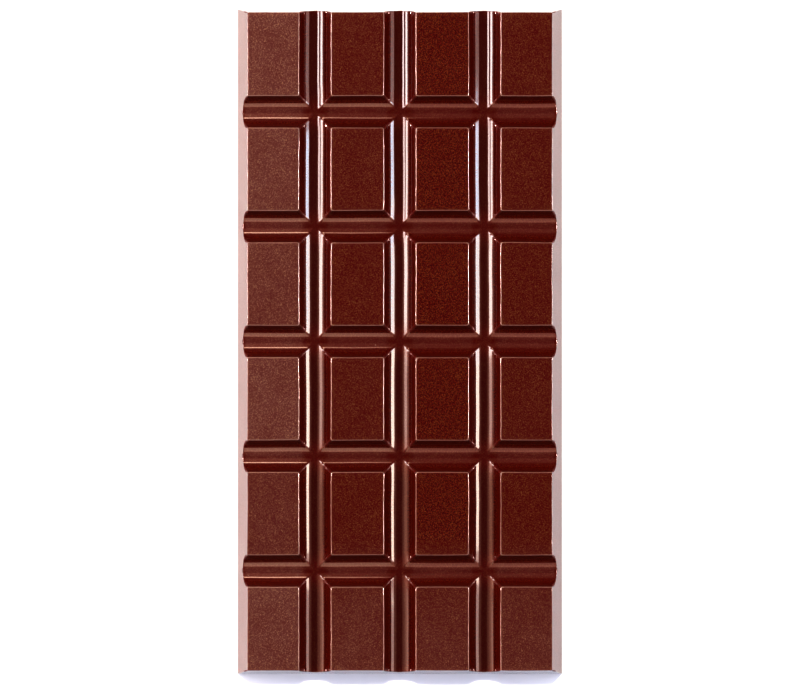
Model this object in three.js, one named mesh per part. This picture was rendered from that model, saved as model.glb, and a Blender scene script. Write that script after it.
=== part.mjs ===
// A moulded chocolate bar: one solid tablet with rows and columns of raised blocks.
// Round-bottomed grooves part the blocks, run out through the sloping walls, and are where the bar is snapped.
// Millimetres, +Z up. X is the width, Y the length. The origin is the centre of the flat back that it lies on.

import * as THREE from "three";

// Driving dimensions.
const LENGTH = 156; // the back, along Y
const WIDTH = 76.3; // the back, along X
const THICKNESS = 8;
const SIDE_DRAFT = 2.8; // how far each long wall leans in over the thickness
const END_DRAFT = 1.5; // the same for each short wall

const COLUMNS = 4;
const ROWS = 6;
const COLUMN_PITCH = 19.76;
const ROW_PITCH = 26.73;

const GROOVE_WIDTH = 7.85; // between the flat tops of two neighbouring blocks
const GROOVE_DEPTH = 3.4;
const FLANK_ANGLE = THREE.MathUtils.degToRad(70); // slope of a groove's straight flank
const HEEL_ANGLE = THREE.MathUtils.degToRad(32); // slope at which the floor's wide round turns into a tighter one
const FLOOR_RADIUS = 3.9; // the wide round of the floor
const HEEL_RADIUS = 2.5; // the tighter round between the floor and a flank
const EDGE_RADIUS = 0.28; // the top edge of a block beside a groove
const WALL_EDGE_RADIUS = 0.12; // the top edge of an outer wall

const FLOOR_STEPS = 2; // facets on each half of the floor's round
const HEEL_STEPS = 2; // facets on the tighter round
const EDGE_STEPS = 1; // facets on the round of a top edge

const CHOCOLATE = new THREE.Color("#541a0e");

// A round that turns from one slope to another, as [run, drop] pairs from where it starts.
function roundPoints(radius, from, to, steps) {
  const points = [];
  for (let i = 0; i <= steps; i += 1) {
    const angle = from + ((to - from) * i) / steps;
    points.push([radius * (Math.sin(angle) - Math.sin(from)), radius * (Math.cos(from) - Math.cos(angle))]);
  }
  return points;
}

// Half a groove, from its top edge to the start of its round floor.
// Each entry is [distance from the groove's centre line, depth below the blocks' tops].
function halfGroove() {
  const edge = roundPoints(EDGE_RADIUS, 0, FLANK_ANGLE, EDGE_STEPS);
  const floor = roundPoints(FLOOR_RADIUS, 0, HEEL_ANGLE, FLOOR_STEPS);
  const heel = roundPoints(HEEL_RADIUS, HEEL_ANGLE, FLANK_ANGLE, HEEL_STEPS).slice(1);
  const [edgeRun, edgeDrop] = edge.at(-1);
  const [floorRun, floorRise] = floor.at(-1);
  const foot = [...floor, ...heel.map(([run, rise]) => [floorRun + run, floorRise + rise])].reverse();
  const [footRun, footRise] = foot[0];
  const flankRun = (GROOVE_DEPTH - edgeDrop - footRise) / Math.tan(FLANK_ANGLE);
  const floorStart = GROOVE_WIDTH / 2 - edgeRun - flankRun - footRun;
  return [
    ...edge.map(([run, drop]) => [GROOVE_WIDTH / 2 - run, drop]),
    ...foot.map(([run, rise]) => [floorStart + run, GROOVE_DEPTH - rise]),
  ];
}

// How far outside the flat top an outer wall stands at a depth: a round edge, then a straight lean.
function wallRun(depth, draft) {
  const slope = Math.atan2(THICKNESS, draft);
  const edgeDrop = WALL_EDGE_RADIUS * (1 - Math.cos(slope));
  if (depth < edgeDrop) {
    return WALL_EDGE_RADIUS * Math.sin(Math.acos(1 - depth / WALL_EDGE_RADIUS));
  }
  const edgeRun = WALL_EDGE_RADIUS * Math.sin(slope);
  const leanRun = draft - edgeRun;
  return edgeRun + (leanRun * (depth - edgeDrop)) / (THICKNESS - edgeDrop);
}

// The bar's profile along one axis, from foot to foot, as [place, height] pairs.
// The walls have a point at each depth that the grooves have, so that all edges meet on shared points.
function profile(size, draft, count, pitch) {
  const groove = halfGroove();
  const topEdge = size / 2 - draft;
  const depths = [THICKNESS, ...groove.map(([, depth]) => depth).reverse()];
  const wall = depths.map((depth) => [topEdge + wallRun(depth, draft), THICKNESS - depth]);
  const points = wall.map(([run, height]) => [-run, height]);
  for (let i = 1; i < count; i += 1) {
    const centre = (i - count / 2) * pitch;
    points.push(...groove.map(([run, depth]) => [centre - run, THICKNESS - depth]));
    points.push(...groove.map(([run, depth]) => [centre + run, THICKNESS - depth]).reverse());
  }
  points.push(...wall.reverse());
  return points;
}

// The closed solid: at each crossing of the two profiles the surface has the lower of their heights.
function tabletGeometry(across, along) {
  const columns = across.length;
  const rows = along.length;
  const positions = [];
  const triangles = [];
  const indexOf = (i, j) => j * columns + i;
  const heightOf = (i, j) => Math.min(across[i][1], along[j][1]);

  for (let j = 0; j < rows; j += 1) {
    for (let i = 0; i < columns; i += 1) {
      positions.push(across[i][0], along[j][0], heightOf(i, j));
    }
  }

  // Each cell is split along its higher diagonal, which keeps the blocks' corner edges sharp and straight.
  for (let j = 0; j < rows - 1; j += 1) {
    for (let i = 0; i < columns - 1; i += 1) {
      const near = indexOf(i, j);
      const right = indexOf(i + 1, j);
      const far = indexOf(i, j + 1);
      const opposite = indexOf(i + 1, j + 1);
      const rising = heightOf(i, j) + heightOf(i + 1, j + 1);
      const falling = heightOf(i + 1, j) + heightOf(i, j + 1);
      if (rising >= falling) {
        triangles.push(near, right, opposite, near, opposite, far);
      } else {
        triangles.push(near, right, far, right, opposite, far);
      }
    }
  }

  // The flat back: a fan from the centre to the rim, which is walked counter-clockwise as seen from above.
  const rim = [];
  for (let i = 0; i < columns - 1; i += 1) rim.push(indexOf(i, 0));
  for (let j = 0; j < rows - 1; j += 1) rim.push(indexOf(columns - 1, j));
  for (let i = columns - 1; i > 0; i -= 1) rim.push(indexOf(i, rows - 1));
  for (let j = rows - 1; j > 0; j -= 1) rim.push(indexOf(0, j));
  const centre = positions.length / 3;
  positions.push(0, 0, 0);
  rim.forEach((corner, k) => {
    triangles.push(centre, rim[(k + 1) % rim.length], corner);
  });

  const geometry = new THREE.BufferGeometry();
  geometry.setAttribute("position", new THREE.Float32BufferAttribute(positions, 3));
  geometry.setIndex(triangles);
  geometry.computeVertexNormals();
  return geometry;
}

function chocolateBar() {
  const across = profile(WIDTH, SIDE_DRAFT, COLUMNS, COLUMN_PITCH);
  const along = profile(LENGTH, END_DRAFT, ROWS, ROW_PITCH);
  const material = new THREE.MeshStandardMaterial({
    color: CHOCOLATE,
    roughness: 0.28,
    metalness: 0,
    flatShading: true,
  });
  const bar = new THREE.Mesh(tabletGeometry(across, along), material);
  bar.name = "chocolate_bar";
  return bar;
}

const part = new THREE.Group();
part.add(chocolateBar());

export default part;
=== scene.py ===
# %% [markdown]
# # A chocolate bar
# The bar is one casting. Melted chocolate was poured into a mould, shaken level and left to set, so the
# mould gave the blocks, grooves and walls their gloss, and the open side became the dull back. It lies on
# that back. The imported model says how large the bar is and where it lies. This scene makes its fine surface
# and its finish.

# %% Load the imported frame
import math

import bpy
import numpy as np
from mathutils import Matrix, Vector


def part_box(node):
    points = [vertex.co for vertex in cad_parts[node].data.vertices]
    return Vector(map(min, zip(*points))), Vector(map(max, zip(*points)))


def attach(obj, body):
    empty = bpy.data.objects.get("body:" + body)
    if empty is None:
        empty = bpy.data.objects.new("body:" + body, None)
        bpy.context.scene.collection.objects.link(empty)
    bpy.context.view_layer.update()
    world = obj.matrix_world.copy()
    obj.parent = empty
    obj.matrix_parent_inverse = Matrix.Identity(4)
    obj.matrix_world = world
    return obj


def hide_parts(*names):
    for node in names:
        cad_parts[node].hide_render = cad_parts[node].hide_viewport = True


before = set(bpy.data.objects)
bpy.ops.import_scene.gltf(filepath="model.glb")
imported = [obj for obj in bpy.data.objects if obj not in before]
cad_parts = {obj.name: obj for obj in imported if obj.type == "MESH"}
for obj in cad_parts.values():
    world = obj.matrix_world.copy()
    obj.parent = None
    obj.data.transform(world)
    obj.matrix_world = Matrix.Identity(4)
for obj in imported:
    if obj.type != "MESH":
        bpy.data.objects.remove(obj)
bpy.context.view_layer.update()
low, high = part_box("chocolate_bar")
print("bar, in metres:", [round(b - a, 4) for a, b in zip(low, high)])

# %% [markdown]
# ## The sizes that the mould was cut to
# A mould is cut from few numbers: how many blocks, how far apart, how wide and deep the grooves between
# them, and how far the outer walls lean, so that the bar drops out. Every length below is in millimetres
# times MM, because Blender works in metres. The bar's own length, width and thickness come from the frame.

# %% Driving sizes
MM = 0.001
WIDTH = high[0] - low[0]
LENGTH = high[1] - low[1]
THICKNESS = high[2] - low[2]
COLUMNS, ROWS = 4, 6
COLUMN_PITCH, ROW_PITCH = 19.76 * MM, 26.73 * MM
SIDE_LEAN, END_LEAN = 2.8 * MM, 1.5 * MM

GROOVE_WIDTH, GROOVE_DEPTH = 7.85 * MM, 3.4 * MM
FLANK_SLOPE, HEEL_SLOPE = math.radians(70), math.radians(32)
FLOOR_ROUND, HEEL_ROUND = 3.9 * MM, 2.5 * MM
EDGE_ROUND = 0.28 * MM
WALL_ROUND = 0.12 * MM
FOOT_ROUND = 0.35 * MM
print("blocks:", COLUMNS * ROWS)

# %% [markdown]
# ## One groove, as a drop below the blocks
# Seen end on, a groove has a round lip, a straight steep flank, a tight round at the heel and a wide round
# floor. It could be a bevelled cut, but a drop worked out from the distance to the block's edge gives smooth
# rounds at any fineness, and the same function shapes all eight grooves.

# %% Groove and wall profiles
LIP_RUN = EDGE_ROUND * math.sin(FLANK_SLOPE)
LIP_DROP = EDGE_ROUND * (1 - math.cos(FLANK_SLOPE))
FLOOR_RUN = FLOOR_ROUND * math.sin(HEEL_SLOPE)
FLOOR_RISE = FLOOR_ROUND * (1 - math.cos(HEEL_SLOPE))
HEEL_RUN = HEEL_ROUND * (math.sin(FLANK_SLOPE) - math.sin(HEEL_SLOPE))
HEEL_RISE = HEEL_ROUND * (math.cos(HEEL_SLOPE) - math.cos(FLANK_SLOPE))
FLANK_RUN = (GROOVE_DEPTH - LIP_DROP - HEEL_RISE - FLOOR_RISE) / math.tan(FLANK_SLOPE)
FLOOR_HALF = GROOVE_WIDTH / 2 - LIP_RUN - FLANK_RUN - HEEL_RUN - FLOOR_RUN


def groove_drop(run):
    """Drop below the blocks, by how far the point is out from the edge of the block's flat top.

    Lip: radius - sqrt(radius^2 - run^2). Flank: a straight line at the flank's slope.
    Floor: the groove's depth, less what the round rises by the same formula for the distance out from
    the level middle. Heel: past the heel's slope the tighter round goes on rising from there.
    """
    lip = EDGE_ROUND - np.sqrt(np.clip(EDGE_ROUND**2 - np.clip(run, 0, LIP_RUN) ** 2, 0, None))
    flank = LIP_DROP + (run - LIP_RUN) * math.tan(FLANK_SLOPE)
    out = np.clip(GROOVE_WIDTH / 2 - FLOOR_HALF - run, 0, FLOOR_RUN + HEEL_RUN)
    floor_rise = FLOOR_ROUND - np.sqrt(FLOOR_ROUND**2 - np.minimum(out, FLOOR_RUN) ** 2)
    turned = HEEL_ROUND * math.sin(HEEL_SLOPE) + np.clip(out - FLOOR_RUN, 0, None)
    heel_rise = HEEL_ROUND * math.cos(HEEL_SLOPE) - np.sqrt(HEEL_ROUND**2 - turned**2)
    foot = GROOVE_DEPTH - floor_rise - heel_rise
    return np.select([run <= 0, run < LIP_RUN, run < LIP_RUN + FLANK_RUN], [0 * run, lip, flank], foot)


def wall_drop(run, lean):
    """Drop below the blocks on an outer wall: a round lip, then a straight lean down to the foot's round."""
    slope = math.atan2(THICKNESS - FOOT_ROUND, lean)
    lip_run = WALL_ROUND * math.sin(slope)
    lip_drop = WALL_ROUND * (1 - math.cos(slope))
    lip = WALL_ROUND - np.sqrt(np.clip(WALL_ROUND**2 - np.clip(run, 0, lip_run) ** 2, 0, None))
    straight = lip_drop + (run - lip_run) * (THICKNESS - FOOT_ROUND - lip_drop) / (lean - lip_run)
    return np.select([run <= 0, run < lip_run], [0 * run, lip], straight)


print("groove floor is level for", round(2 * FLOOR_HALF / MM, 2), "mm")

# %% [markdown]
# ## The lines of the mesh
# A grid of even squares would waste faces on the flat tops and starve the rounds. So each axis gets its own
# list of lines: close together where the surface bends, far apart on the flat. The mesh is every crossing of
# the two lists. The walls get a line at every depth at which the grooves have one, so that the sharp edges
# where they meet run through shared points and come out clean.

# %% Lines along one axis
LIP_LINES, FLANK_LINES, HEEL_LINES, FLOOR_LINES = 5, 3, 7, 8
WALL_LINES = 6
FACE_LINES = 8
TABLE_POINTS = 2000
PLACE_DECIMALS = 8
TINY = 1e-9


def round_runs(radius, start, end, lines):
    """Runs of points at even angles on a round: radius times (sine of each angle - sine of the first)."""
    return radius * (np.sin(np.linspace(start, end, lines + 1)) - math.sin(start))


def half_groove_runs():
    """Distances from the flat top's edge to the groove's middle, closest together on the rounds."""
    lip = round_runs(EDGE_ROUND, 0, FLANK_SLOPE, LIP_LINES)
    flank = LIP_RUN + np.linspace(0, FLANK_RUN, FLANK_LINES + 1)
    floor_end = GROOVE_WIDTH / 2 - FLOOR_HALF
    heel = floor_end - FLOOR_RUN - round_runs(HEEL_ROUND, HEEL_SLOPE, FLANK_SLOPE, HEEL_LINES)
    floor = floor_end - round_runs(FLOOR_ROUND, 0, HEEL_SLOPE, FLOOR_LINES)
    return np.concatenate([lip, flank, heel, floor, [GROOVE_WIDTH / 2]])


def wall_runs(lean):
    """Distances out from the flat top's edge to the foot of a wall.

    There is one for each depth that the grooves have a line at, and below those they go evenly down.
    """
    lower = np.linspace(GROOVE_DEPTH, THICKNESS - FOOT_ROUND, WALL_LINES + 1)
    depths = np.concatenate([groove_drop(half_groove_runs()), lower])
    table = np.linspace(0, lean, TABLE_POINTS)
    return np.interp(depths, wall_drop(table, lean), table)


def axis_lines(size, lean, count, pitch):
    """Every line of one axis with the block it belongs to and its drop, as arrays sorted by place.

    A flat top's lines follow a sine, so that they crowd towards its edges. Places that are the same to
    PLACE_DECIMALS are one line.
    """
    top_edge = size / 2 - lean
    middles = (np.arange(count) - (count - 1) / 2) * pitch
    groove = half_groove_runs()
    wall = wall_runs(lean)
    wave = np.sin(np.linspace(-math.pi / 2, math.pi / 2, FACE_LINES))
    places = []
    for middle in middles:
        is_first = middle == middles[0]
        is_last = middle == middles[-1]
        start = -top_edge if is_first else middle - (pitch - GROOVE_WIDTH) / 2
        end = top_edge if is_last else middle + (pitch - GROOVE_WIDTH) / 2
        before = wall if is_first else groove
        after = wall if is_last else groove
        places += [start - before, (start + end) / 2 + wave * (end - start) / 2, end + after]
    places = np.unique(np.round(np.concatenate(places), PLACE_DECIMALS))

    block = np.clip(np.round(places / pitch + (count - 1) / 2), 0, count - 1).astype(int)
    middle = middles[block]
    side = np.where(places < middle, -1.0, 1.0)
    on_wall = side * middle >= middles[-1] - TINY
    face_reach = np.where(on_wall, top_edge - middles[-1], (pitch - GROOVE_WIDTH) / 2)
    run = np.abs(places - middle) - face_reach
    drop = np.where(on_wall, wall_drop(run, lean), groove_drop(run))
    return {"place": places, "block": block, "middle": middle, "side": side, "on_wall": on_wall,
            "face_reach": face_reach, "drop": drop, "lean": lean}


across = axis_lines(WIDTH, SIDE_LEAN, COLUMNS, COLUMN_PITCH)
along = axis_lines(LENGTH, END_LEAN, ROWS, ROW_PITCH)
print("lines across and along:", len(across["place"]), len(along["place"]))

# %% [markdown]
# ## Blocks with softened corners
# Where a groove across meets a groove along, the deeper of the two wins, which leaves each block four
# straight slanting corner edges. In a real mould the cutter rounds those a little, here most at the top. So
# at every depth the block's outline, a rectangle, has its corners drawn in to a small round, which gets
# sharper further down: a square patch of the grid at each corner is bent into a quarter disc.

# %% The moulded side
CORNER_ROUND, WALL_CORNER_ROUND = 0.4 * MM, 0.12 * MM
CORNER_FADE = 0.75
RIDGE_TOP, RIDGE_FOOT = 0.5 * MM, GROOVE_DEPTH - FLOOR_RISE
BELOW_FLOOR = GROOVE_DEPTH + 1e-7
FAR_OFF = 1.0
SHORTEST = 1e-12
GROOVE_TABLE = np.linspace(0, GROOVE_WIDTH / 2 - FLOOR_HALF, TABLE_POINTS)


def reach_at(lines, depth):
    """How far past its flat top a block's side has got at a depth: the inverse of the profile, by a table.

    Below its floor a groove has no side any more, so the reach there is far off.
    """
    wall_table = np.linspace(0, lines["lean"], TABLE_POINTS)
    on_wall = np.interp(depth, wall_drop(wall_table, lines["lean"]), wall_table)
    on_groove = np.interp(depth, groove_drop(GROOVE_TABLE), GROOVE_TABLE)
    on_groove = np.where(depth > BELOW_FLOOR, FAR_OFF, on_groove)
    return np.where(lines["on_wall"], on_wall, on_groove)


def spread(lines, row):
    """The arrays of one axis, shaped to run along the grid's rows or its columns."""
    arrays = {key: value for key, value in lines.items() if key != "lean"}
    shaped = {key: value[None, :] if row else value[:, None] for key, value in arrays.items()}
    return shaped | {"lean": lines["lean"]}


def moulded_grid(across, along):
    """x, y and depth of every crossing with rounded corners, and which points are on the corner ridges.

    The corner's radius shrinks with the depth. In a corner patch, (right, up) are distances into it from
    its inner corner. Both are scaled by larger / hypotenuse, which bends the patch's square outline into
    an arc. On a groove's floor the bend fades out.
    """
    a, b = spread(across, True), spread(along, False)
    depth = np.maximum(a["drop"], b["drop"])
    reach_a = a["face_reach"] + reach_at(a, depth)
    reach_b = b["face_reach"] + reach_at(b, depth)
    sharper = 1 - CORNER_FADE * np.clip(depth / GROOVE_DEPTH, 0, 1)
    corner = np.where(a["on_wall"] | b["on_wall"], WALL_CORNER_ROUND, CORNER_ROUND * sharper)
    right = np.abs(a["place"] - a["middle"]) - (reach_a - corner)
    up = np.abs(b["place"] - b["middle"]) - (reach_b - corner)
    larger = np.maximum(right, up)
    in_corner = (right > 0) & (up > 0)
    bend = np.where(in_corner, larger / np.maximum(np.hypot(right, up), SHORTEST), 1.0)
    fade = np.clip(1 - (larger - corner) / FLOOR_HALF, 0, 1)
    bend = 1 + (bend - 1) * np.where(in_corner, fade, 0)
    x = a["middle"] + a["side"] * (np.abs(a["place"] - a["middle"]) + right * (bend - 1))
    y = b["middle"] + b["side"] * (np.abs(b["place"] - b["middle"]) + up * (bend - 1))
    ridge = in_corner & (depth > RIDGE_TOP) & (depth < RIDGE_FOOT)
    return x, y, depth, ridge


grid_x, grid_y, grid_depth, on_ridge = moulded_grid(across, along)
print("moulded side:", grid_x.size, "points, deepest", round(grid_depth.max() / MM, 2), "mm")

# %% [markdown]
# ## Nothing cast is quite true
# Chocolate shrinks as it sets. Each block ends up tipped by a fraction of a degree, its top a hair hollow,
# and the flanks wander, which is why long highlights in the grooves are never ruled lines. A few long sine
# waves with seeded directions do this better than random noise, because neighbouring points then move
# together.

# %% Shrinkage
rng = np.random.default_rng(24)
BLOCK_TIP = math.radians(0.15)
FACE_HOLLOW = 0.035 * MM
SWELL_HEIGHT = 0.022 * MM
SWELL_SHIFT = 0.035 * MM
RIM_FADE = 2 * MM
# For each set of waves: the shortest, the longest, and how many.
HEIGHT_WAVES = (9 * MM, 30 * MM, 9)
SHIFT_WAVES = (8 * MM, 26 * MM, 7)


def swell(x, y, shortest, longest, waves):
    """Sum of plane sine waves, each with its own seeded direction, length and start.

    It is divided by the square root of how many there are, which keeps it at about -1 to 1.
    """
    total = np.zeros(np.broadcast(x, y).shape)
    for _ in range(waves):
        turn = rng.uniform(0, math.tau)
        length = rng.uniform(shortest, longest)
        start = rng.uniform(0, math.tau)
        total += np.sin(math.tau / length * (x * math.cos(turn) + y * math.sin(turn)) + start)
    return total / math.sqrt(waves)


def settled(x, y, depth):
    """Height of the moulded side: the thickness less the depth, with tips, hollows and a slow swell.

    A block's tip and hollow belong to its top and fade to nothing at the depth of the groove's floor.
    The swell is lowered by its own height, and fades to nothing at the foot.
    """
    block_x = across["block"][None, :]
    block_y = along["block"][:, None]
    tips = rng.uniform(-BLOCK_TIP, BLOCK_TIP, (2, ROWS, COLUMNS))
    off_x = x - across["middle"][None, :]
    off_y = y - along["middle"][:, None]
    tip = tips[0, block_y, block_x] * off_x + tips[1, block_y, block_x] * off_y
    round_off = (off_x / (COLUMN_PITCH / 2)) ** 2 + (off_y / (ROW_PITCH / 2)) ** 2
    hollow = -FACE_HOLLOW * np.clip(1 - round_off, 0, 1) ** 2
    near_top = np.clip(1 - depth / GROOVE_DEPTH, 0, 1)
    above_foot = np.clip((THICKNESS - FOOT_ROUND - depth) / RIM_FADE, 0, 1)
    slow = SWELL_HEIGHT * swell(x, y, *HEIGHT_WAVES)
    return THICKNESS - depth + near_top * (tip + hollow) + above_foot * (slow - SWELL_HEIGHT)


grid_z = settled(grid_x, grid_y, grid_depth)
inside_x = np.clip((WIDTH / 2 - np.abs(grid_x)) / RIM_FADE, 0, 1)
inside_y = np.clip((LENGTH / 2 - np.abs(grid_y)) / RIM_FADE, 0, 1)
shift = inside_x * inside_y * SWELL_SHIFT
grid_x = grid_x + shift * swell(grid_x, grid_y, *SHIFT_WAVES)
grid_y = grid_y + shift * swell(grid_x, grid_y, *SHIFT_WAVES)
print("highest point", round(grid_z.max() / MM, 3), "mm")

# %% [markdown]
# ## The poured back
# The back was the open side of the mould. It set as a flat skin with slow waves left from shaking, and a
# small round where it met the mould's rim. It is made as rings that shrink from the rim to the middle, which
# closes the bar without a seam and needs few points, because nothing on it is sharp.

# %% Rings of the back
FOOT_RINGS = 4
BACK_RINGS = 8
BACK_WAVE = 0.05 * MM
BACK_UNEVEN = 0.5
BACK_WAVES = (25 * MM, 60 * MM, 6)


def rim_order(rows, columns):
    """Grid numbers of the rim's points, counter-clockwise seen from above."""
    grid = np.arange(rows * columns).reshape(rows, columns)
    return np.concatenate([grid[0, :-1], grid[:-1, -1], grid[-1, :0:-1], grid[:0:-1, 0]])


def back_rings(rim_x, rim_y):
    """Rings from the rim to near the middle, as arrays of one row for each ring.

    On the foot a ring goes in by radius (1 - cos a) and down by radius sin a.
    Past it the rings shrink evenly towards the middle, and slow waves lift the back a hair off the table.
    """
    angle = np.linspace(0, math.pi / 2, FOOT_RINGS + 1)[1:, None]
    inset = FOOT_ROUND * (1 - np.cos(angle))
    foot_x = rim_x * (1 - inset / (WIDTH / 2))
    foot_y = rim_y * (1 - inset / (LENGTH / 2))
    foot_z = FOOT_ROUND * (1 - np.sin(angle)) + 0 * rim_x
    shrink = np.linspace(1, 0, BACK_RINGS + 2)[1:-1, None]
    back_x = foot_x[-1] * shrink
    back_y = foot_y[-1] * shrink
    lift = np.sqrt(np.sin(math.pi * shrink))
    back_z = BACK_WAVE * lift * (1 + BACK_UNEVEN * swell(back_x, back_y, *BACK_WAVES))
    z = np.clip(np.vstack([foot_z, back_z]), 0, None)
    return np.vstack([foot_x, back_x]), np.vstack([foot_y, back_y]), z


def quads(first, second):
    """Faces between two closed loops of point numbers."""
    return np.stack([first, second, np.roll(second, -1, -1), np.roll(first, -1, -1)], -1).reshape(-1, 4)


rows, columns = grid_x.shape
rim = rim_order(rows, columns)
ring_x, ring_y, ring_z = back_rings(grid_x.ravel()[rim], grid_y.ravel()[rim])
print("back:", ring_x.size, "points in", len(ring_x), "rings")

# %% [markdown]
# ## One closed mesh
# The two sides share the rim's points, and one point closes the middle of the back. The moulded side could
# be squares, but then Blender would choose how each is cut, and the blocks' slanting corner edges would look
# like a saw. So every cell is given as two triangles, cut along its higher diagonal.

# %% Build the bar


def make_mesh(name, points, faces, triangles):
    """A smooth-shaded mesh from arrays of points, four-sided faces and triangles."""
    mesh = bpy.data.meshes.new(name)
    corners = np.concatenate([faces.ravel(), triangles.ravel()])
    sizes = np.concatenate([np.full(len(faces), 4), np.full(len(triangles), 3)])
    mesh.vertices.add(len(points))
    mesh.vertices.foreach_set("co", points.ravel())
    mesh.loops.add(len(corners))
    mesh.loops.foreach_set("vertex_index", corners)
    mesh.polygons.add(len(sizes))
    mesh.polygons.foreach_set("loop_start", np.concatenate([[0], np.cumsum(sizes)[:-1]]))
    mesh.polygons.foreach_set("use_smooth", np.ones(len(sizes), bool))
    mesh.update(calc_edges=True)
    mesh.validate()
    return mesh


def split_cells(depth):
    """Two triangles for each cell of the grid, split along the diagonal whose two ends stand higher."""
    numbers = np.arange(depth.size).reshape(depth.shape)
    near, right, opposite, far = numbers[:-1, :-1], numbers[:-1, 1:], numbers[1:, 1:], numbers[1:, :-1]
    rising = depth[:-1, :-1] + depth[1:, 1:] <= depth[:-1, 1:] + depth[1:, :-1]
    first = np.where(rising, [near, right, opposite], [near, right, far])
    second = np.where(rising, [near, opposite, far], [right, opposite, far])
    return np.concatenate([first.reshape(3, -1), second.reshape(3, -1)], 1).T


ring_numbers = rows * columns + np.arange(ring_x.size).reshape(ring_x.shape)
loops = np.vstack([rim[None, :], ring_numbers])
back_faces = np.vstack([quads(outer, inner) for outer, inner in zip(loops[:-1], loops[1:])])
middle_point = rows * columns + ring_x.size
fan = np.stack([np.roll(loops[-1], -1), loops[-1], np.full(len(rim), middle_point)], -1)

top_points = np.stack([grid_x.ravel(), grid_y.ravel(), grid_z.ravel()], -1)
back_points = np.stack([ring_x.ravel(), ring_y.ravel(), ring_z.ravel()], -1)
points = np.vstack([top_points, back_points, [[0, 0, BACK_WAVE / 2]]])
bar_mesh = make_mesh("moulded_bar", points, back_faces, np.vstack([split_cells(grid_depth), fan]))
bar = bpy.data.objects.new("moulded_bar", bar_mesh)
bpy.context.collection.objects.link(bar)
print("bar:", len(points), "points,", sum(len(p.vertices) - 2 for p in bar_mesh.polygons), "triangles")

# %% [markdown]
# ## What the finish needs to know
# A material can't tell by itself where a block's edge is. It could be painted by hand, but five numbers from
# 0 to 1 that are stored at every point come from the same grid as the shape, so they follow it exactly: how
# far the point is on the poured back, on a flat top, in the band of painted highlight along a top edge and on
# a slanting corner edge, and how much painted reflection haze lies there.

# %% Numbers stored at the points
# Where the band of painted highlight along the top edges lies past the flat top's edge, and how wide it is.
HIGHLIGHT_PLACE, HIGHLIGHT_WIDTH = 0.18 * MM, 0.08 * MM
TOP_DEPTH = 0.1 * MM
LIP_DEPTH = 0.03 * MM
# Painted reflection haze on the tops, by column and row and more along the last row, and on the groove
# floors.
COLUMN_HAZE = np.array([1.0, 0.16, 0.0, 0.12])
ROW_HAZE = np.array([1.0, 0.6, 1.0, 0.8, 1.0, 1.05])
LAST_ROW_HAZE, LAST_ROW_START, LAST_ROW_RISE = 0.55, 1.7, 0.7
FLOOR_START, MOUTH_FADE = 0.8, 1.5
CROSSWISE_HAZE, CROSSWISE_SHARE, LENGTHWAYS_HAZE = 0.3, 0.4, 0.15


# The pale band along the blocks' top edges is a painted highlight of their round edges.
def painted_edge_highlight():
    """Bell curve of how far a point is past the flat top's edge, and none on walls.

    exp(-((past - place) / width)^2)
    """
    past_x = np.abs(across["place"] - across["middle"]) - across["face_reach"]
    past_y = np.abs(along["place"] - along["middle"]) - along["face_reach"]
    past_x = np.where(across["on_wall"], -FAR_OFF, past_x)[None, :]
    past_y = np.where(along["on_wall"], -FAR_OFF, past_y)[:, None]
    bell = np.exp(-(((np.maximum(past_x, past_y) - HIGHLIGHT_PLACE) / HIGHLIGHT_WIDTH) ** 2))
    wall_x = np.where(across["on_wall"], across["drop"], 0)[None, :]
    wall_y = np.where(along["on_wall"], along["drop"], 0)[:, None]
    return bell * (wall_x + wall_y < TOP_DEPTH)


def floor_share(lines):
    """0 down to a set share of a groove's depth, then rising evenly to 1 at its floor. 0 on outer walls."""
    share = (lines["drop"] / GROOVE_DEPTH - FLOOR_START) / (1 - FLOOR_START)
    return np.clip(share, 0, 1) * (1 - lines["on_wall"])


def painted_haze_amount():
    """How much painted reflection haze lies at each point. It is put on level ground alone.

    Tops: a bell curve of the depth, times the block's amount, which grows along the last row.
    Crosswise floors: a share of that amount, which fades where a lengthways groove or a side wall cuts in.
    Lengthways floors: a little, all along.
    """
    tops = np.exp(-((grid_depth / TOP_DEPTH) ** 2))
    of_block = COLUMN_HAZE[across["block"]][None, :] * ROW_HAZE[along["block"]][:, None]
    near_end = np.clip(-grid_y / ROW_PITCH - LAST_ROW_START, 0, 1) ** LAST_ROW_RISE
    amount = np.clip(of_block + LAST_ROW_HAZE * near_end * (1 - of_block), 0, 1)
    mouths = np.clip(MOUTH_FADE - MOUTH_FADE * across["drop"] / GROOVE_DEPTH, 0, 1)
    crosswise = floor_share(along)[:, None] * mouths[None, :] * (CROSSWISE_HAZE + CROSSWISE_SHARE * amount)
    above_walls = grid_depth < GROOVE_DEPTH + TOP_DEPTH
    lengthways = LENGTHWAYS_HAZE * floor_share(across)[None, :] * above_walls
    return tops * amount + np.maximum(crosswise, lengthways)


def dull_ridges():
    """1 on the slanting corner edges of the blocks and on the grid's points next to them, 0 elsewhere."""
    wide = on_ridge.copy()
    wide[:, 1:] |= on_ridge[:, :-1]
    wide[:, :-1] |= on_ridge[:, 1:]
    tall = wide.copy()
    tall[1:] |= wide[:-1]
    tall[:-1] |= wide[1:]
    return tall & (grid_depth > RIDGE_TOP) & (grid_depth < RIDGE_FOOT)


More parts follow.
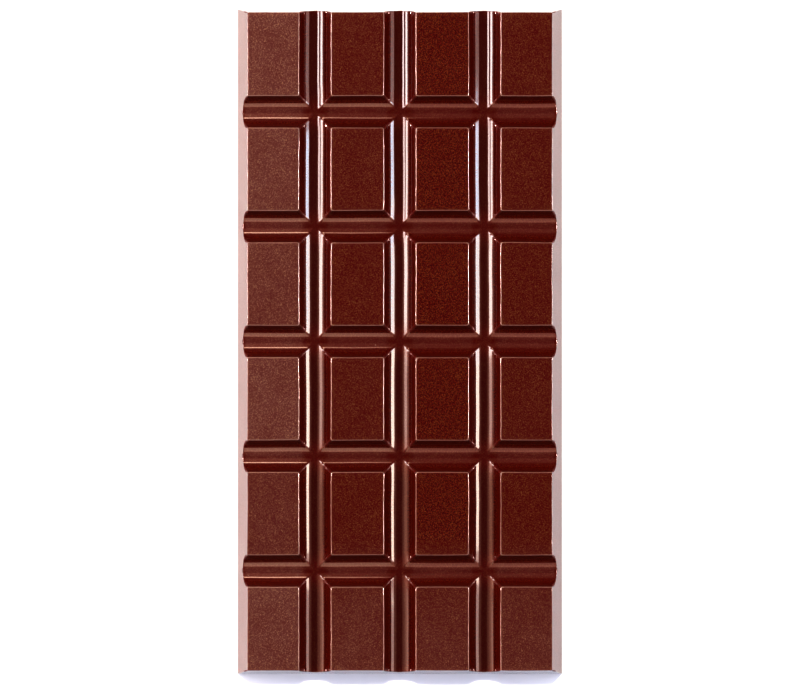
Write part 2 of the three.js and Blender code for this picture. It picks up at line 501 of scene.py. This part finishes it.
# The edge numbers hold a painted highlight along the blocks' top edges, and the pale film numbers a painted
# reflection haze.
fields = {
    "back": np.zeros(grid_x.shape),
    "edge": painted_edge_highlight(),
    "painted_haze": painted_haze_amount(),
    "top": np.exp(-((grid_depth / LIP_DEPTH) ** 2)),
    "ridge": dull_ridges(),
}
for name, field in fields.items():
    values = np.full(len(points), 1.0 if name == "back" else 0.0, np.float32)
    values[: rows * columns] = field.ravel()
    layer = bar_mesh.attributes.new(name, "FLOAT", "POINT")
    layer.data.foreach_set("value", values)
    print(name, "is", round(float(values.mean()), 3), "on average")

# %% [markdown]
# ## A small language for materials
# A material is a chain of nodes, and long chains are hard to read as node calls. `Flow` wraps one socket,
# so that `1 - mask * 0.5` builds its Math nodes by itself. `Recipe.node` makes any other node from its type,
# its settings and what goes into its sockets.

# %% Shader helper


class Flow:
    """One socket of a material's nodes. The signs + - * and ** on it add Math nodes."""

    def __init__(self, recipe, socket):
        self.recipe = recipe
        self.socket = socket

    def maths(self, operation, other, swapped=False):
        """Adds a Math node for this socket and another value, or for the two the other way round."""
        values = [other, self] if swapped else [self, other]
        return self.recipe.node("ShaderNodeMath", {"operation": operation}, dict(enumerate(values)))

    def __add__(self, other):
        return self.maths("ADD", other)

    def __radd__(self, other):
        return self.maths("ADD", other)

    def __sub__(self, other):
        return self.maths("SUBTRACT", other)

    def __rsub__(self, other):
        return self.maths("SUBTRACT", other, swapped=True)

    def __mul__(self, other):
        return self.maths("MULTIPLY", other)

    def __rmul__(self, other):
        return self.maths("MULTIPLY", other)

    def __pow__(self, other):
        return self.maths("POWER", other)

    def __rpow__(self, other):
        return self.maths("POWER", other, swapped=True)

    def clamped(self):
        """Cuts the value off below 0 and above 1."""
        return self.recipe.node("ShaderNodeClamp", {}, {"Value": self})


class Recipe:
    """A material's node tree, with one method that makes any node."""

    def __init__(self, name):
        self.material = bpy.data.materials.new(name)
        self.material.use_nodes = True
        self.tree = self.material.node_tree
        self.tree.nodes.clear()

    def node(self, kind, settings, inputs, output=0):
        """Makes a node: its settings first, then a value or a link for each named or numbered socket."""
        made = self.tree.nodes.new(kind)
        for name, value in settings.items():
            setattr(made, name, value)
        for name, value in inputs.items():
            if isinstance(value, Flow):
                self.tree.links.new(value.socket, made.inputs[name])
            else:
                made.inputs[name].default_value = value
        return Flow(self, made.outputs[output]) if len(made.outputs) else None

    def attribute(self, name):
        """A number that is stored at the points of the mesh."""
        return self.node("ShaderNodeAttribute", {"attribute_name": name}, {}, output="Fac")

    def mix(self, factor, first, second):
        """Blends two colours: the first where the factor is 0, the second where it is 1."""
        sockets = {"Factor": factor, 6: first, 7: second}
        return self.node("ShaderNodeMix", {"data_type": "RGBA"}, sockets, output=2)

    def noise(self, where, size, detail=2.0, roughness=0.5):
        """Soft random values from 0 to 1 whose blobs are about `size` metres wide."""
        sockets = {"Vector": where, "Scale": 1 / size, "Detail": detail, "Roughness": roughness}
        return self.node("ShaderNodeTexNoise", {"noise_dimensions": "3D"}, sockets)

    def cells(self, where, size):
        """A random value from 0 to 1 for each of many small cells about `size` metres across."""
        sockets = {"Vector": where, "Scale": 1 / size}
        return self.node("ShaderNodeTexVoronoi", {"voronoi_dimensions": "3D"}, sockets, output="Color")

    def finish(self, shader):
        """Joins the shader to the material's output."""
        self.node("ShaderNodeOutputMaterial", {}, {"Surface": shader})
        return self.material


print("shader helper ready")

# %% [markdown]
# ## Dark chocolate
# Well tempered chocolate is a deep red-brown with a satin body and a thin clear gloss where it touched the
# mould: the gloss draws crisp bright lines in the grooves, the satin body spreads a soft haze over the flat
# tops. Cocoa and sugar show as a very fine grain of paler specks, most of all on the tops. A faint pale
# colour is painted on as reflection haze: on the flat tops, most on the first column and along the last row,
# and on the groove floors. Drawn-out streaks come from the flow in the mould. A paler band along the top
# edges of the blocks is a painted highlight of their round edges, and their slanting corner edges have lost
# nearly all of the gloss.
# The back has no clear gloss and is rougher. It could be several materials, but one shader with a clear
# coat does all of this, because only amounts change over the surface.

# %% Chocolate finish
DARK = (0.080, 0.0, 0.0, 1)
SPECK = (0.158, 0.058, 0.012, 1)
PAINTED_SHEEN_AND_BLOOM = (0.62, 0.49, 0.42, 1)
GRAIN, PATCH, STREAK = 0.11 * MM, 5 * MM, 1.1 * MM
PATCH_DETAIL, PATCH_ROUGHNESS = 3.0, 0.6
STREAK_STRETCH = (1.0, 0.09, 1.0)

# Specks: their contrast, how much the patches shift them, how rare they are, and how many show in grooves.
SPECK_CONTRAST, SPECK_PATCHES, SPECK_RARITY, GROOVE_SPECKS = 1.6, 0.15, 5, 0.4
# Painted reflection haze: its strength, how much the patches change it, how even it is, and how much it
# gathers on specks.
HAZE_STRENGTH, HAZE_PATCHES, HAZE_EVEN, HAZE_SPECKS = 0.10, 0.06, 0.7, 1.2
# How pale the painted highlight along the top edges is, and the back's own dull bloom.
EDGE_HIGHLIGHT, BACK_BLOOM = 0.34, 0.03

BASE_ROUGHNESS, COAT_ROUGHNESS = 0.10, 0.05
TOP_WEAR, WEAR_PATCHES, WEAR_GRAIN = 0.10, 0.06, 0.06
BACK_ROUGHER, RIDGE_ROUGHER = 0.25, 0.35
RIDGE_COAT_LOSS = 0.9
STREAK_RELIEF, BACK_RELIEF = 0.25, 3.0
BUMP_STRENGTH, BUMP_HEIGHT = 0.35, 0.03 * MM
GLOSS_IOR = 1.5


def chocolate():
    """Colour, roughness, coat and bump of the bar, by its own coordinates and the stored numbers."""
    r = Recipe("dark_chocolate")
    where = r.node("ShaderNodeTexCoord", {}, {}, output="Object")
    back, edge, top, painted_haze, ridge = (r.attribute(name) for name in ("back", "edge", "top", "painted_haze", "ridge"))
    grain = r.cells(where, GRAIN)
    patches = r.noise(where, PATCH, PATCH_DETAIL, PATCH_ROUGHNESS)
    drawn_out = r.node("ShaderNodeMapping", {}, {"Vector": where, "Scale": STREAK_STRETCH})
    streaks = r.noise(drawn_out, STREAK)

    lightness = (grain - 0.5) * SPECK_CONTRAST + 0.5 + (patches - 0.5) * SPECK_PATCHES
    specks = lightness.clamped() ** SPECK_RARITY
    # The pale colour is painted reflection haze on the tops and groove floors, a painted highlight along the
    # top edges, and the back's own dull bloom.
    painted_sheen_and_bloom = painted_haze * (HAZE_STRENGTH + (patches - 0.5) * HAZE_PATCHES) * (HAZE_EVEN + specks * HAZE_SPECKS)
    painted_sheen_and_bloom = painted_sheen_and_bloom + edge * EDGE_HIGHLIGHT + back * BACK_BLOOM
    body = r.mix(specks * (GROOVE_SPECKS + top * (1 - GROOVE_SPECKS)), DARK, SPECK)

    worn = TOP_WEAR + (patches - 0.5) * WEAR_PATCHES + (grain - 0.5) * WEAR_GRAIN
    roughness = BASE_ROUGHNESS + top * worn + back * BACK_ROUGHER + ridge * RIDGE_ROUGHER
    relief = top * streaks * STREAK_RELIEF + back * patches * BACK_RELIEF
    bump = {"Strength": BUMP_STRENGTH, "Distance": BUMP_HEIGHT, "Height": relief}
    sockets = {
        "Base Color": r.mix(painted_sheen_and_bloom, body, PAINTED_SHEEN_AND_BLOOM),
        "Roughness": roughness,
        "Normal": r.node("ShaderNodeBump", {}, bump),
        "IOR": GLOSS_IOR,
        "Coat Weight": 1 - back - ridge * RIDGE_COAT_LOSS,
        "Coat Roughness": COAT_ROUGHNESS,
        "Coat IOR": GLOSS_IOR,
    }
    return r.finish(r.node("ShaderNodeBsdfPrincipled", {}, sockets))


bar_mesh.materials.append(chocolate())
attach(bar, "root")
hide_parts("chocolate_bar")
print("finish on", bar.name)

# %% [markdown]
# ## The table
# A plain pale matt surface, large enough to fill the view from any side. One square is enough, because it
# is flat.

# %% Floor
FLOOR_SIZE = 6.0
MOTTLE = 0.05
DULL_WHITE, BRIGHT_WHITE = (0.86, 0.86, 0.86, 1), (0.90, 0.90, 0.90, 1)


def pale_floor():
    """A white matt paint with the faintest unevenness."""
    r = Recipe("pale_floor")
    where = r.node("ShaderNodeTexCoord", {}, {}, output="Object")
    colour = r.mix(r.noise(where, MOTTLE), DULL_WHITE, BRIGHT_WHITE)
    return r.finish(r.node("ShaderNodeBsdfDiffuse", {}, {"Color": colour}))


half = FLOOR_SIZE / 2
floor_corners = [(-half, -half, 0), (half, -half, 0), (half, half, 0), (-half, half, 0)]
floor_mesh = bpy.data.meshes.new("floor")
floor_mesh.from_pydata(floor_corners, [], [(0, 1, 2, 3)])
floor_mesh.materials.append(pale_floor())
floor = bpy.data.objects.new("floor", floor_mesh)
bpy.context.collection.objects.link(floor)
print("floor", FLOOR_SIZE, "m")

# %% [markdown]
# ## Light
# A glossy bar shows what it mirrors. Its flat tops, seen from above, mirror the dark ceiling, so they stay
# deep brown. A slope mirrors what stands at twice its own angle from straight up, so panels at the room's
# sides draw the bright lines in the grooves, and each panel is given by the angles of its two edges from
# straight up. A line changes from row to row, so each run of it has a panel of its own. The rim panels stand
# just above the table. The round top edges of the blocks mirror them, and from most of what lies deeper they
# are hidden by the next block. Soft light comes from panels that nothing mirrors, so that shine and
# brightness can be set apart. A light's power is brightness x pi x area.

# %% Studio light
REACH = 0.86
KEY_REACH = 1.073
FILL_REACH = 1.118
RIM_TOP, RIM_FOOT = 84.0, 88.0
# How far along a panel a mirrored line gets in about one, two and three rows from the bar's middle.
ONE_ROW, TWO_ROWS, THREE_ROWS = 0.052, 0.105, 0.165


def panel(name, side, upper_angle, lower_angle, start, end, brightness, tint, mirrored=True, reach=REACH):
    """A flat rectangular light that faces the bar from one side.

    side points from the bar to the panel. The angles of its two edges are from straight up, in degrees,
    and reach is how far away both are. start and end say how far it runs along the other axis. A panel
    either is mirrored by the gloss or lights the scene softly.
    """
    out = Vector((*side, 0))
    sideways = Vector((abs(side[1]), abs(side[0]), 0))
    up = Vector((0, 0, 1))
    angles = (math.radians(upper_angle), math.radians(lower_angle))
    upper, lower = (reach * (out * math.sin(angle) + up * math.cos(angle)) for angle in angles)
    rise = upper - lower
    middle = (upper + lower) / 2
    x_axis = sideways
    y_axis = rise.normalized()
    z_axis = x_axis.cross(y_axis)
    if z_axis.dot(middle) < 0:
        x_axis, z_axis = -x_axis, -z_axis
    light = bpy.data.lights.new(name, "AREA")
    light.shape = "RECTANGLE"
    light.size, light.size_y = end - start, rise.length
    light.energy = brightness * math.pi * light.size * light.size_y
    light.color = tint
    lamp = bpy.data.objects.new(name, light)
    turn = Matrix((x_axis, y_axis, z_axis)).transposed().to_4x4()
    lamp.matrix_world = Matrix.Translation(middle + sideways * (start + end) / 2) @ turn
    lamp.visible_glossy = mirrored
    lamp.visible_diffuse = not mirrored
    bpy.context.collection.objects.link(lamp)
    return lamp


WHITE, COOL, PEARL, IVORY = (1, 1, 1), (0.80, 0.88, 1.0), (1.0, 0.94, 0.94), (1.0, 0.98, 0.95)
SUNNY, GOLDEN, AMBER = (1.0, 0.93, 0.84), (1.0, 0.89, 0.79), (1.0, 0.77, 0.60)
ROSE, CORAL, EMBER = (1.0, 0.80, 0.74), (1.0, 0.66, 0.52), (1.0, 0.60, 0.42)
DAYLIGHT, SHADE = (1.0, 0.93, 0.74), (0.50, 0.62, 1.0)
SOFT_WARM, SOFT_COLD = (1.0, 0.94, 0.88), (0.96, 0.97, 1.0)
LEFT, RIGHT, UP, DOWN = (-1, 0), (1, 0), (0, 1), (0, -1)
# Each: name, side, angles of the upper and the lower edge, start, end, brightness, tint.
panels = [
    panel("left_high_far", LEFT, 15.7, 26.2, TWO_ROWS, 0.30, 13, PEARL),
    panel("left_high", LEFT, 21.0, 32.2, ONE_ROW, TWO_ROWS, 11, PEARL),
    panel("left_low_far", LEFT, 35.8, 51.0, TWO_ROWS, 0.30, 13, PEARL),
    panel("left_low", LEFT, 38.5, 52.7, ONE_ROW, TWO_ROWS, 11.5, PEARL),
    panel("left_middle", LEFT, 27.0, 50.0, 0.0, ONE_ROW, 11, IVORY),
    panel("left_near", LEFT, 29.5, 48.0, -ONE_ROW, 0.0, 4.2, ROSE),
    panel("left_near_soft", LEFT, 23.0, 51.0, -ONE_ROW, 0.0, 1.1, ROSE),
    panel("left_dim", LEFT, 29.0, 50.0, -TWO_ROWS, -ONE_ROW, 1.5, EMBER),
    panel("left_end_soft", LEFT, 31.0, 61.0, -0.30, -TWO_ROWS, 1.4, CORAL),
    panel("left_end", LEFT, 44.0, 58.0, -0.30, -TWO_ROWS, 1.6, ROSE),
    panel("left_glow", LEFT, 12.0, 74.0, -0.30, TWO_ROWS, 0.7, EMBER),
    panel("left_inner_glow", LEFT, 18.0, 60.0, -0.30, TWO_ROWS, 0.7, CORAL),
    panel("left_tail", LEFT, 50.0, 62.0, -ONE_ROW, 0.30, 1.1, ROSE),
    panel("left_rim_far", LEFT, RIM_TOP, RIM_FOOT, ONE_ROW, THREE_ROWS, 150, ROSE),
    panel("left_rim_middle", LEFT, RIM_TOP, RIM_FOOT, 0.0, ONE_ROW, 200, ROSE),
    panel("left_rim", LEFT, RIM_TOP, RIM_FOOT, -ONE_ROW, 0.0, 50, ROSE),
    panel("left_rim_near", LEFT, RIM_TOP, RIM_FOOT, -THREE_ROWS, -TWO_ROWS, 55, ROSE),
    panel("right_far", RIGHT, 38.0, 65.5, TWO_ROWS, 0.40, 3.1, ROSE),
    panel("right_cool", RIGHT, 39.0, 64.0, ONE_ROW, TWO_ROWS, 11.8, COOL),
    panel("right_white", RIGHT, 34.0, 62.5, 0.0, ONE_ROW, 10.8, WHITE),
    panel("right_sunny", RIGHT, 35.5, 60.0, -ONE_ROW, 0.0, 12.3, SUNNY),
    panel("right_golden", RIGHT, 38.2, 58.2, -TWO_ROWS, -ONE_ROW, 12.6, GOLDEN),
    panel("right_near", RIGHT, 38.5, 59.7, -0.40, -TWO_ROWS, 4.9, ROSE),
    panel("right_glow", RIGHT, 22.0, 38.0, -0.40, ONE_ROW, 1.0, CORAL),
    panel("right_rim_far", RIGHT, RIM_TOP, RIM_FOOT, TWO_ROWS, THREE_ROWS, 70, ROSE),
    panel("right_rim", RIGHT, RIM_TOP, RIM_FOOT, 0.0, TWO_ROWS, 245, ROSE),
    panel("right_rim_sunny", RIGHT, RIM_TOP, RIM_FOOT, -TWO_ROWS, 0.0, 190, ROSE),
    panel("right_rim_near", RIGHT, RIM_TOP, RIM_FOOT, -THREE_ROWS, -TWO_ROWS, 50, ROSE),
    panel("near_left", DOWN, 29.5, 58.0, -0.40, 0.0, 2.9, AMBER),
    panel("near_right", DOWN, 26.0, 56.0, 0.0, 0.40, 2.0, CORAL),
    panel("near_glow", DOWN, 12.0, 40.0, -0.40, 0.40, 0.4, EMBER),
    panel("far_strip", UP, 37.0, 45.0, -0.35, -0.035, 9.5, AMBER),
    panel("far_faint", UP, 37.0, 45.0, -0.035, 0.0, 3.8, AMBER),
    panel("far_glow", UP, 12.0, 37.0, -0.35, -0.035, 1.0, EMBER),
    panel("far_glow_right", UP, 12.0, 42.0, -0.035, 0.40, 0.45, EMBER),
    panel("key", UP, 21.3, 27.3, -0.08, 0.04, 285, DAYLIGHT, mirrored=False, reach=KEY_REACH),
    panel("left_soft", LEFT, 60.0, 80.0, -0.5, 0.5, 16, SOFT_WARM, mirrored=False),
    panel("right_soft", RIGHT, 60.0, 80.0, -0.5, 0.5, 10, SOFT_COLD, mirrored=False),
    panel("fill", UP, -26.6, 26.6, -0.5, 0.5, 1.95, SHADE, mirrored=False, reach=FILL_REACH),
]
print(len(panels), "panels,", round(sum(p.data.energy for p in panels), 1), "W in all")

# %% [markdown]
# ## The room's own glow
# A real room is never black where there is no lamp. Its walls could be modelled, but a weak warm background
# does the same, and keeps the parts of the gloss that mirror no panel from going quite dark.

# %% Background
ROOM_GLOW, ROOM_STRENGTH = (1.0, 0.80, 0.65, 1), 0.04
world = bpy.data.worlds.new("studio")
world.use_nodes = True
background = world.node_tree.nodes["Background"]
background.inputs["Color"].default_value = ROOM_GLOW
background.inputs["Strength"].default_value = ROOM_STRENGTH
bpy.context.scene.world = world
print("background strength", ROOM_STRENGTH)

# %% [markdown]
# ## Camera
# The bar is looked at from straight above, from far enough away that the walls hardly splay. The lens is
# worked out from how many pixels of the picture the bar's length takes up, and the camera moves sideways
# until the bar's middle is where it should be.

# %% Camera
CAMERA_HEIGHT = 0.9
PICTURE_WIDTH, PICTURE_HEIGHT = 800, 689
BAR_PIXELS = 664.2
BAR_MIDDLE = (399.83, 341.45)
SENSOR_WIDTH = 36
CONTRAST_GAMMA = 0.62

metres_per_pixel = LENGTH / BAR_PIXELS
lens_camera = bpy.data.cameras.new("camera")
lens_camera.sensor_width = SENSOR_WIDTH
lens_camera.lens = SENSOR_WIDTH * CAMERA_HEIGHT / (PICTURE_WIDTH * metres_per_pixel)
lens_camera.clip_start = 0.01
lens_camera.clip_end = 20
camera = bpy.data.objects.new("camera", lens_camera)
camera.location = (
    (PICTURE_WIDTH / 2 - BAR_MIDDLE[0]) * metres_per_pixel,
    (BAR_MIDDLE[1] - PICTURE_HEIGHT / 2) * metres_per_pixel,
    CAMERA_HEIGHT,
)
bpy.context.collection.objects.link(camera)
scene = bpy.context.scene
scene.camera = camera
scene.view_settings.view_transform = "Standard"
scene.view_settings.look = "None"
scene.view_settings.exposure = 0.0
scene.view_settings.gamma = CONTRAST_GAMMA
print("lens", round(lens_camera.lens, 1), "mm")
